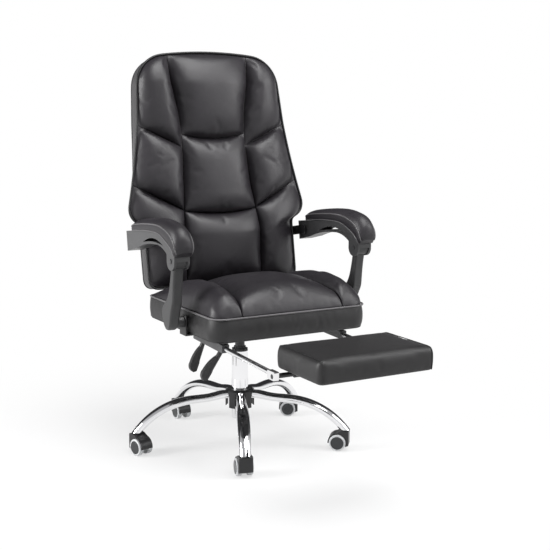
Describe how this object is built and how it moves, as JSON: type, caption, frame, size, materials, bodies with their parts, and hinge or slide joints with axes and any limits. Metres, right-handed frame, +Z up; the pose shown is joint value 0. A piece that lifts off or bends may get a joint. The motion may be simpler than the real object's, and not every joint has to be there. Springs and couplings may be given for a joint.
{
  "type": "reclining office chair with footrest",
  "caption": "Reclining office chair with padded seat and back, folding arms that follow the recline, gas lift, chromed star base on castors and a sliding, flipping footrest.",
  "frame": {"origin": "on the floor, under the axis of the gas lift column", "axes": "+Z up, +X to the sitter's left, +Y to the back of the chair, so the footrest points to -Y"},
  "size_m": [0.6717, 1.0559, 1.1769],
  "materials": {
    "chrome": "polished",
    "black_steel": "satin",
    "bright_steel": "satin",
    "black_plastic": "satin",
    "arm_plastic": "satin",
    "wheel_grey": "satin",
    "cap_dark": "satin",
    "leather": "satin",
    "leather_side": "satin",
    "leather_pad": "satin",
    "board": "matte"
  },
  "bodies": {
    "base": {"star_base": "chrome", "hub_cover": "black_plastic", "castor_stems": "bright_steel", "column_tube": "chrome", "column_bush": "black_plastic", "thrust_bearing": "bright_steel"},
    "lift_rod": {"piston_rod": "bright_steel"},
    "seat": {"gas_cylinder": "black_steel", "mechanism": "black_steel", "mount_bolts": "bright_steel", "seat_board": "board", "seat_cushion": "leather_side", "seat_top_cushion": "leather", "seat_frame": "black_steel", "seat_pivot_bolts": "bright_steel", "footrest_guides": "black_steel"},
    "valve_pin": {"release_pin": "bright_steel"},
    "height_lever": {"height_lever_rod": "black_steel", "height_lever_grip": "black_plastic"},
    "recline_lever": {"recline_lever_rod": "black_steel", "recline_lever_grip": "black_plastic"},
    "footrest_slider": {"footrest_rods": "chrome", "footrest_crossbar": "black_steel"},
    "footrest_pad": {"footrest_straps": "black_steel", "footrest_board": "board", "footrest_cushion": "leather_pad"},
    "back": {"back_board": "board", "back_core": "leather_side", "back_cushion": "leather", "back_rear_panel": "leather_side", "back_hinge_arms": "black_steel", "arm_rear_brackets": "black_steel"},
    "left_post": {"arm_left_post": "arm_plastic", "arm_left_pin": "bright_steel"},
    "left_beam": {"arm_left_beam": "arm_plastic", "arm_left_pad": "leather_pad"},
    "right_post": {"arm_right_post": "arm_plastic", "arm_right_pin": "bright_steel"},
    "right_beam": {"arm_right_beam": "arm_plastic", "arm_right_pad": "leather_pad"},
    "castor_1": {"castor_1_hood": "black_plastic"},
    "wheels_1": {"castor_1_axle": "bright_steel", "castor_1_wheels": "wheel_grey", "castor_1_caps": "cap_dark"},
    "castor_2": {"castor_2_hood": "black_plastic"},
    "wheels_2": {"castor_2_axle": "bright_steel", "castor_2_wheels": "wheel_grey", "castor_2_caps": "cap_dark"},
    "castor_3": {"castor_3_hood": "black_plastic"},
    "wheels_3": {"castor_3_axle": "bright_steel", "castor_3_wheels": "wheel_grey", "castor_3_caps": "cap_dark"},
    "castor_4": {"castor_4_hood": "black_plastic"},
    "wheels_4": {"castor_4_axle": "bright_steel", "castor_4_wheels": "wheel_grey", "castor_4_caps": "cap_dark"},
    "castor_5": {"castor_5_hood": "black_plastic"},
    "wheels_5": {"castor_5_axle": "bright_steel", "castor_5_wheels": "wheel_grey", "castor_5_caps": "cap_dark"}
  },
  "joints": [
    {"name": "castor_1_swivel", "type": "hinge", "parent": "base", "child": "castor_1", "pos_m": [-0.1394, -0.29358, 0.05], "axis": [0, 0, 1], "continuous": true},
    {"name": "castor_1_roll", "type": "hinge", "parent": "castor_1", "child": "wheels_1", "pos_m": [-0.13389, -0.27436, 0.025], "axis": [0.9613, -0.2756, 0], "continuous": true},
    {"name": "castor_2_swivel", "type": "hinge", "parent": "base", "child": "castor_2", "pos_m": [0.23614, -0.2233, 0.05], "axis": [0, 0, 1], "continuous": true},
    {"name": "castor_2_roll", "type": "hinge", "parent": "castor_2", "child": "wheels_2", "pos_m": [0.22082, -0.21045, 0.025], "axis": [0.6428, 0.766, 0], "continuous": true},
    {"name": "castor_3_swivel", "type": "hinge", "parent": "base", "child": "castor_3", "pos_m": [0.28534, 0.15557, 0.05], "axis": [0, 0, 1], "continuous": true},
    {"name": "castor_3_roll", "type": "hinge", "parent": "castor_3", "child": "wheels_3", "pos_m": [0.26802, 0.16557, 0.025], "axis": [0.5, 0.866, 0], "continuous": true},
    {"name": "castor_4_swivel", "type": "hinge", "parent": "base", "child": "castor_4", "pos_m": [-0.05978, 0.31945, 0.05], "axis": [0, 0, 1], "continuous": true},
    {"name": "castor_4_roll", "type": "hinge", "parent": "castor_4", "child": "wheels_4", "pos_m": [-0.05909, 0.29947, 0.025], "axis": [-0.9994, -0.0349, 0], "continuous": true},
    {"name": "castor_5_swivel", "type": "hinge", "parent": "base", "child": "castor_5", "pos_m": [-0.32229, 0.04186, 0.05], "axis": [0, 0, 1], "continuous": true},
    {"name": "castor_5_roll", "type": "hinge", "parent": "castor_5", "child": "wheels_5", "pos_m": [-0.31745, 0.02245, 0.025], "axis": [-0.9703, -0.2419, 0], "continuous": true},
    {"name": "seat_swivel", "type": "hinge", "parent": "base", "child": "lift_rod", "pos_m": [0, 0, 0.1], "axis": [0, 0, 1], "continuous": true},
    {"name": "seat_height", "type": "slide", "parent": "lift_rod", "child": "seat", "axis": [0, 0, 1], "range_m": [-0.015, 0.085]},
    {"name": "back_recline", "type": "hinge", "parent": "seat", "child": "back", "pos_m": [0, 0.128, 0.452], "axis": [-1, 0, 0], "range_deg": [0, 45]},
    {"name": "footrest_slide", "type": "slide", "parent": "seat", "child": "footrest_slider", "axis": [0, 0.9994, 0.0349], "range_m": [0, 0.185]},
    {"name": "footrest_flip", "type": "hinge", "parent": "footrest_slider", "child": "footrest_pad", "pos_m": [0, -0.54, 0.352], "axis": [1, 0, 0], "range_deg": [0, 180]},
    {"name": "height_lever_lift", "type": "hinge", "parent": "seat", "child": "height_lever", "pos_m": [-0.042, -0.028, 0.35], "axis": [0, 1, 0], "range_deg": [0, 6], "stiffness_Nm_per_rad": 0.8, "springref_deg": -2.86},
    {"name": "recline_lever_lift", "type": "hinge", "parent": "seat", "child": "recline_lever", "pos_m": [-0.056, 0.1, 0.35], "axis": [0, 1, 0], "range_deg": [0, 6], "stiffness_Nm_per_rad": 0.8, "springref_deg": -2.86},
    {"name": "valve_press", "type": "slide", "parent": "seat", "child": "valve_pin", "axis": [0, 0, -1], "range_m": [0, 0.0044]},
    {"name": "left_post_tilt", "type": "hinge", "parent": "seat", "child": "left_post", "pos_m": [0.28, -0.145, 0.425], "axis": [-1, 0, 0], "range_deg": [0, 45]},
    {"name": "left_beam_tilt", "type": "hinge", "parent": "left_post", "child": "left_beam", "pos_m": [0.294, -0.2, 0.605], "axis": [-1, 0, 0], "range_deg": [-45, 0]},
    {"name": "right_post_tilt", "type": "hinge", "parent": "seat", "child": "right_post", "pos_m": [-0.28, -0.145, 0.425], "axis": [-1, 0, 0], "range_deg": [0, 45]},
    {"name": "right_beam_tilt", "type": "hinge", "parent": "right_post", "child": "right_beam", "pos_m": [-0.294, -0.2, 0.605], "axis": [-1, 0, 0], "range_deg": [-45, 0]}
  ],
  "couplings": [
    {"joint": "valve_press", "follows": "height_lever_lift", "m_per_rad": 0.042},
    {"joint": "left_post_tilt", "follows": "back_recline", "ratio": 1},
    {"joint": "left_beam_tilt", "follows": "back_recline", "ratio": -1},
    {"joint": "right_post_tilt", "follows": "back_recline", "ratio": 1},
    {"joint": "right_beam_tilt", "follows": "back_recline", "ratio": -1}
  ]
}
